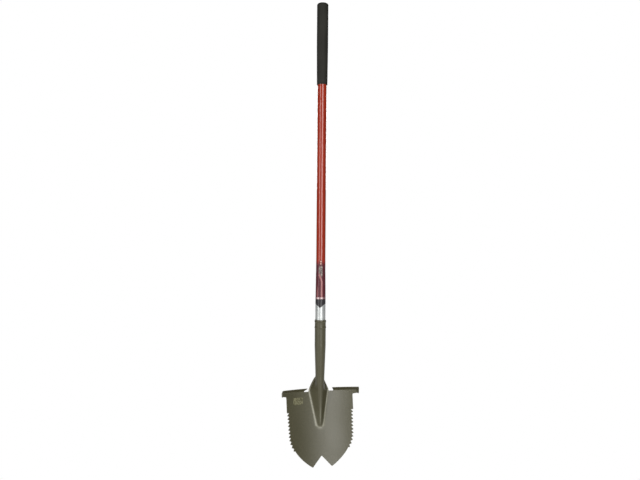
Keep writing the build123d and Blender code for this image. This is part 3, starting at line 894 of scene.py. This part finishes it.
def paint_material():
    """Olive-brown enamel on the steel head: satin, uneven, worn pale at edges, and lightened on the frog's
    lip, crest and nose as a painted highlight.
    """
    m = Shader("blade_paint")
    m.set(metallic=0.0, specular_tint=(1.0, 0.99, 0.93, 1.0), coat_weight=0.25, coat_roughness=0.32)
    m.set(coat_tint=(1.0, 0.99, 0.95, 1.0))
    broad = m.noise(9.0, detail=3.0)
    fine = m.noise(420.0, detail=3.0)
    tone = m.blend(broad, srgb(59, 56, 34), srgb(70, 67, 46))
    tone = m.blend(m.span(fine, 0.35, 0.75, 0.0, 0.35), tone, srgb(90, 87, 64))
    patchy = m.noise(140.0, detail=3.0)
    wear = m.math("MULTIPLY", m.attribute("edge"), m.span(m.noise(260.0), 0.35, 0.7))
    tone = m.blend(m.math("MULTIPLY", wear, 0.55), tone, srgb(128, 124, 104))
    # painted highlight: the paint is lightened along the frog's lip, lower crest and nose foot, in patches,
    # on front-facing surfaces only
    painted_lip_highlight = m.math("MULTIPLY", m.attribute("rim"), m.span(patchy, 0.25, 0.6, 0.65, 1.0))
    painted_lip_highlight = m.math("MULTIPLY", painted_lip_highlight, m.faces_front(), clamp=True)
    tone = m.blend(painted_lip_highlight, tone, srgb(142, 140, 124))
    m.colour(tone)
    m.roughness(m.span(broad, 0.3, 0.7, 0.40, 0.47))
    peel = m.bump(m.noise(900.0, detail=2.0), 0.00006, 0.35)
    m.bump(m.noise(38.0, detail=2.0), 0.0012, 0.05, under=peel)
    return m.material


def fibreglass_material():
    """Pultruded fibreglass rod: orange-red, glossy, with fine fibres along it."""
    m = Shader("handle_fibreglass")
    m.set(specular_ior_level=0.15, coat_weight=0.85, coat_roughness=0.05)
    fibres = m.noise(520.0, stretch=(1, 1, 0.02), detail=5.0, rough=0.6)
    cloud = m.noise(14.0, stretch=(1, 1, 0.4), detail=2.0)
    tone = m.blend(m.span(fibres, 0.3, 0.7), srgb(142, 39, 18), srgb(168, 53, 28))
    m.colour(m.blend(m.math("MULTIPLY", cloud, 0.35), tone, srgb(132, 35, 15)))
    m.roughness(m.span(fibres, 0.3, 0.7, 0.34, 0.42))
    m.bump(fibres, 0.00012, 0.25)
    return m.material


def collar_material():
    """Bright rolled steel, faintly brushed around."""
    m = Shader("collar_steel")
    m.set(metallic=0.78, specular_ior_level=0.3)
    rings = m.noise(60.0, stretch=(0.3, 0.3, 40.0), detail=3.0)
    spots = m.noise(45.0, detail=4.0)
    m.colour(m.blend(m.span(spots, 0.4, 0.75), (0.58, 0.60, 0.59), (0.51, 0.53, 0.52)))
    m.roughness(m.span(rings, 0.3, 0.7, 0.38, 0.46))
    m.bump(rings, 0.00002, 0.3)
    return m.material


def rubber_material():
    """Black cushion rubber: fine pebbled skin, slightly dusty."""
    m = Shader("grip_rubber")
    m.set(specular_ior_level=0.2)
    cells = m.noise(800.0, detail=3.0)
    dust = m.noise(30.0, stretch=(1, 1, 0.5), detail=4.0)
    m.colour(m.blend(m.span(dust, 0.35, 0.75), (0.021, 0.0205, 0.0165), (0.030, 0.029, 0.024)))
    m.roughness(m.span(dust, 0.3, 0.7, 0.66, 0.78))
    m.bump(cells, 0.0001, 0.45)
    return m.material


def wood_material():
    m = Shader("core_wood")
    grain = m.noise(160.0, stretch=(1, 1, 0.05), detail=5.0)
    m.colour(m.blend(grain, srgb(176, 132, 84), srgb(122, 82, 44)))
    m.roughness(m.span(grain, 0.3, 0.7, 0.6, 0.75))
    m.bump(grain, 0.0003, 0.4)
    return m.material


def rivet_material():
    m = Shader("rivet_steel")
    m.set(metallic=0.8)
    spots = m.noise(300.0)
    m.colour(m.blend(spots, srgb(84, 80, 62), srgb(120, 118, 104)))
    m.roughness(m.span(spots, 0.3, 0.7, 0.35, 0.5))
    m.bump(spots, 0.0001, 0.4)
    return m.material


def label_material():
    """Printed film: red runs down into maroon, then black; dots, a mottled patch and stripes in front; the
    wider stripe also carries a painted highlight.
    """
    m = Shader("label_film")
    m.set(specular_ior_level=0.3, coat_weight=0.18, coat_roughness=0.1)
    low, high = LABEL_LOW.z * MM, LABEL_HIGH.z * MM
    radius = 16.2 * MM
    cos, sin = math.cos(LABEL_TURN), math.sin(LABEL_TURN)
    x, y = m.axis("X"), m.axis("Y")
    across = m.math("ADD", m.math("MULTIPLY", x, cos / radius), m.math("MULTIPLY", y, sin / radius))
    toward = m.math("SUBTRACT", m.math("MULTIPLY", x, sin / radius),
                    m.math("MULTIPLY", y, cos / radius))
    front = m.span(toward, 0.0, 0.2)
    up = m.span(m.axis("Z"), low, high, 0.0, 1.0, smooth=False)
    grain = m.noise(260.0, detail=3.0)

    def band(value, centre, half, soft):
        away = m.math("ABSOLUTE", m.math("SUBTRACT", value, centre))
        return m.span(away, half, half + soft, 1.0, 0.0)

    def all_of(*masks):
        out = front
        for mask in masks:
            out = m.math("MULTIPLY", out, mask)
        return out

    def dot(height):
        tall = m.math("MULTIPLY", m.math("SUBTRACT", up, height), (high - low) / radius)
        squares = m.math("ADD", m.math("MULTIPLY", tall, tall), m.math("MULTIPLY", across, across))
        away = m.math("SQRT", squares)
        return all_of(m.span(away, 0.10, 0.20, 1.0, 0.0))

    red, maroon, black = srgb(168, 48, 30), srgb(88, 34, 42), srgb(44, 41, 44)
    pink, pale, cream = srgb(172, 112, 110), srgb(170, 162, 150), srgb(214, 170, 150)
    tone = m.blend(m.span(m.math("ADD", up, m.math("MULTIPLY", grain, 0.05)), 0.90, 1.05), maroon, red)
    dark_top = all_of(band(up, 0.95, 0.045, 0.03), band(across, 0.0, 0.25, 0.2))
    tone = m.blend(m.math("MULTIPLY", dark_top, 0.5), tone, srgb(60, 14, 16))
    for height in (0.972, 0.926):
        tone = m.blend(dot(height), tone, cream)
    blotches = m.span(m.noise(430.0, detail=2.0), 0.44, 0.56)
    patch = all_of(band(up, 0.77, 0.085, 0.03), band(across, 0.0, 0.30, 0.14))
    mottle = m.blend(blotches, srgb(64, 48, 48), pale)
    tone = m.blend(m.math("MULTIPLY", patch, 0.85), tone, mottle)
    # the wider stripe is printed, and its pale pink colour also holds a painted highlight from the front lamp
    middle = m.span(up, 0.53, 0.73, 0.23, -0.30)
    stripe_with_painted_highlight = all_of(band(m.math("SUBTRACT", across, middle), 0.0, 0.12, 0.10), m.span(up, 0.75, 0.68))
    thin = all_of(band(across, -0.64, 0.06, 0.12), m.span(up, 0.52, 0.34))
    tone = m.blend(m.math("MULTIPLY", stripe_with_painted_highlight, 0.85), tone, pink)
    tone = m.blend(m.math("MULTIPLY", thin, 0.6), tone, pink)
    foot = m.math("ADD", band(across, -0.5, 0.12, 0.2), band(across, 0.22, 0.12, 0.2))
    foot_line = all_of(band(up, 0.204, 0.012, 0.015), m.math("ADD", foot, 0.25, clamp=True))
    tone = m.blend(foot_line, tone, srgb(216, 190, 190))
    tone = m.blend(m.span(up, 0.192, 0.180), tone, black)
    m.colour(m.blend(m.math("MULTIPLY", grain, 0.12), tone, black))
    m.roughness(m.span(grain, 0.3, 0.7, 0.34, 0.44))
    m.bump(grain, 0.00005, 0.3)
    return m.material


def decal_material():
    m = Shader("decal_film")
    blotch = m.noise(190.0, detail=3.0)
    m.colour(m.blend(m.span(blotch, 0.4, 0.6), srgb(76, 73, 46), srgb(114, 111, 82)))
    m.roughness(m.span(blotch, 0.3, 0.7, 0.4, 0.55))
    m.bump(blotch, 0.0001, 0.3)
    return m.material


def dress(piece, material, slot, *nodes):
    """Gives a piece its material and its body, and hides the CAD nodes that it stands for; the slot argument
    is not used.
    """
    piece.data.materials.clear()
    piece.data.materials.append(material)
    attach(piece, "root")
    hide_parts(*nodes)


def mark_edges(obj, reach):
    """Attribute "edge": 1 on sharp rims, fading over reach metres."""
    mesh = obj.data
    bm = bmesh.new()
    bm.from_mesh(mesh)
    rim = [v.co.copy() for v in bm.verts if any(e.calc_face_angle(0) > 0.45 for e in v.link_edges)]
    bm.free()
    tree = kdtree.KDTree(len(rim))
    for i, co in enumerate(rim):
        tree.insert(co, i)
    tree.balance()
    values = [math.exp(-(tree.find(v.co)[2] / reach)**2) for v in mesh.vertices]
    mesh.attributes.new("edge", "FLOAT", "POINT").data.foreach_set("value", values)


blade = make_blade()
mark_edges(blade, 1.2 * MM)
dress(blade, paint_material(), "blade_paint", "blade")
dress(make_handle(), fibreglass_material(), "handle_fibreglass", "handle_tube")
dress(make_core(), wood_material(), "core_wood", "handle_core")
dress(make_collar(), collar_material(), "collar_steel", "reinforcing_collar")
dress(make_grip(), rubber_material(), "grip_rubber", "cushion_grip")
dress(make_label(), label_material(), "label_film", "handle_label")
dress(make_decal(), decal_material(), "decal_film", "blade_decal")
dress(make_rivet(), rivet_material(), "rivet_steel", "socket_rivet")

# ---- studio -------------------------------------------------------------------------------------
VIEW_SIDE = math.radians(14.5)          # the camera stands this far to the left of straight on
VIEW_DISTANCE = 2.0
VIEW_Z = (STEP_Z + 502.0) * MM
LENS = 33.78
ROLL = math.radians(0.44)
VIEW_SHIFT = 0.0032
AMBIENT = 0.04           # glow of the dark room's walls and ceiling
FROM_BELOW = 0.75        # glow of its bottom
SENSOR = 36.0
LIGHT_DISTANCE = 3.2
FLOOR_HALF = 40.0
ROOM_R = 4.4
ROOM_TOP = 3.2
ROOM_SIDES = 48


def make_camera():
    data = bpy.data.cameras.new("camera")
    data.lens, data.sensor_width = LENS, SENSOR
    data.clip_start, data.clip_end = 0.05, 60.0
    cam = bpy.data.objects.new("camera", data)
    forward = Vector((math.sin(VIEW_SIDE), math.cos(VIEW_SIDE), 0))
    right = Vector((math.cos(VIEW_SIDE), -math.sin(VIEW_SIDE), 0))
    up = Vector((0, 0, 1))
    rolled = right * math.cos(ROLL) + up * math.sin(ROLL)
    rolled_up = up * math.cos(ROLL) - right * math.sin(ROLL)
    place = -forward * VIEW_DISTANCE + up * VIEW_Z - right * VIEW_SHIFT
    cam.matrix_world = Matrix((
        (rolled.x, rolled_up.x, -forward.x, place.x),
        (rolled.y, rolled_up.y, -forward.y, place.y),
        (rolled.z, rolled_up.z, -forward.z, place.z),
        (0, 0, 0, 1),
    ))
    bpy.context.scene.collection.objects.link(cam)
    bpy.context.scene.camera = cam


def softbox(name, azimuth, elevation, width, height, glow):
    """Area light of the given brightness; azimuth counts from straight in front, positive to the right."""
    data = bpy.data.lights.new(name, "AREA")
    data.shape = "RECTANGLE"
    data.size, data.size_y = width, height
    data.energy = math.pi * width * height * glow
    light = bpy.data.objects.new(name, data)
    a, e = math.radians(azimuth), math.radians(elevation)
    out = Vector((math.sin(a) * math.cos(e), -math.cos(a) * math.cos(e), math.sin(e)))
    light.location = Vector((0, 0, VIEW_Z)) + out * LIGHT_DISTANCE
    light.rotation_mode = "QUATERNION"
    light.rotation_quaternion = out.to_track_quat("Z", "Y")
    light.visible_camera = False
    bpy.context.scene.collection.objects.link(light)


def plain_material(name, colour, glow):
    m = Shader(name)
    m.set(base_color=(*colour, 1.0), roughness=0.9, specular_ior_level=0.0)
    m.set(emission_color=(1, 1, 1, 1), emission_strength=glow)
    return m.material


def make_floor():
    """White floor that stays white to the horizon; the camera sees it, but it lights nothing."""
    size = FLOOR_HALF
    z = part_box("blade")[0].z
    corners = [(-size, -size, z), (size, -size, z), (size, size, z), (-size, size, z)]
    floor = mesh_object("floor", corners, [(0, 1, 2, 3)])
    floor.data.materials.append(plain_material("floor_white", (0.0, 0.0, 0.0), 1.0))
    floor.visible_diffuse = False
    floor.visible_glossy = False


def make_flags():
    """Dark round room, unseen by the camera, which keeps the rims of the object dark."""
    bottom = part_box("blade")[0].z - 0.01
    verts, faces = [], []
    for i in range(ROOM_SIDES):
        a = 2 * math.pi * i / ROOM_SIDES
        x, y = ROOM_R * math.sin(a), -ROOM_R * math.cos(a)
        verts += [(x, y, bottom), (x, y, ROOM_TOP)]
        n = (i + 1) % ROOM_SIDES
        faces.append((2 * i, 2 * n, 2 * n + 1, 2 * i + 1))
    faces.append(tuple(2 * i + 1 for i in range(ROOM_SIDES)))
    faces.append(tuple(2 * i for i in range(ROOM_SIDES)))
    flags = mesh_object("flags", verts, faces)
    flags.data.materials.append(plain_material("flag_grey", (0.04, 0.04, 0.04), AMBIENT))
    flags.data.materials.append(plain_material("flag_pale", (0.04, 0.04, 0.04), FROM_BELOW))
    flags.data.polygons[ROOM_SIDES + 1].material_index = 1
    flags.visible_camera = False


def make_world():
    world = bpy.data.worlds.new("studio")
    world.use_nodes = True
    back = world.node_tree.nodes["Background"]
    back.inputs["Color"].default_value = (1, 1, 1, 1)
    back.inputs["Strength"].default_value = 1.0
    bpy.context.scene.world = world
    bpy.context.scene.view_settings.view_transform = "Standard"


make_camera()
make_floor()
make_flags()
make_world()
softbox("front", 3, 8, 1.6, 2.3, 6.3)
softbox("left", -58, 8, 0.75, 2.3, 7.6)
softbox("back", 165.5, 25, 2.0, 2.0, 9.0)
